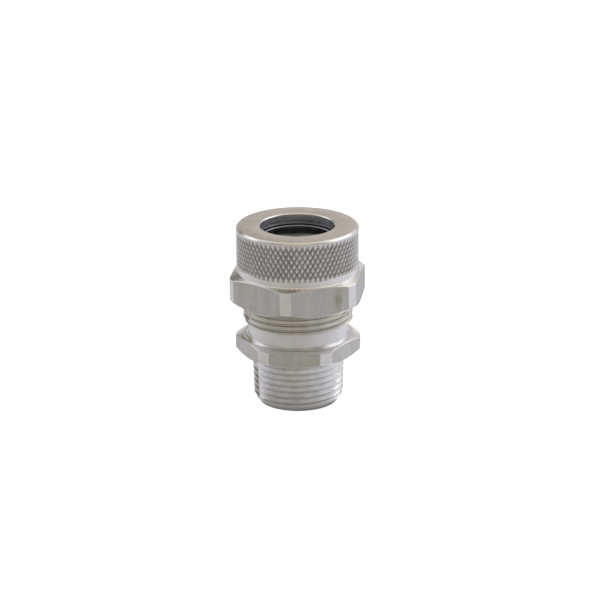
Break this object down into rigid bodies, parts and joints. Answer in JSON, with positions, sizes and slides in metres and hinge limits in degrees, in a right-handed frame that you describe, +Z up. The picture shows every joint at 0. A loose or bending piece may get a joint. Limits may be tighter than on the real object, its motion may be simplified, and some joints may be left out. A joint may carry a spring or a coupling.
{
  "type": "cable gland",
  "caption": "Metal cable gland: knurled hex compression nut on a hex-flanged body with a tapered pipe thread; the nut screws down to seal a round cable.",
  "frame": {"origin": "centre of the body's pipe-thread end face, which is the lowest face", "axes": "+Z up the common axis of both threads, from the pipe thread to the nut's mouth; -Y is the side the picture was taken from, +X is to that viewer's right"},
  "size_m": [0.0394, 0.0406, 0.0532],
  "materials": {
    "gland_body": "bare machined, satin, fine turning marks",
    "gland_nut": "bare machined, satin, diamond-knurled barrel",
    "slip_ring": "plain turned, dull grey",
    "sealing_bushing": "matt black moulded rubber"
  },
  "bodies": {
    "gland_body": {"gland_body": "gland_body", "sealing_bushing": "sealing_bushing"},
    "slip_ring": {"slip_ring": "slip_ring"},
    "gland_nut": {"gland_nut": "gland_nut"}
  },
  "joints": [
    {"name": "nut_travel", "type": "slide", "parent": "gland_body", "child": "slip_ring", "axis": [0, 0, 1], "range_m": [-0.0041, 0.01365]},
    {"name": "nut_turn", "type": "hinge", "parent": "slip_ring", "child": "gland_nut", "pos_m": [0, 0, 0.0306], "axis": [0, 0, 1], "range_deg": [-810, 2700]}
  ],
  "couplings": [
    {"joint": "nut_travel", "follows": "nut_turn", "m_per_rad": 0.00028875}
  ]
}
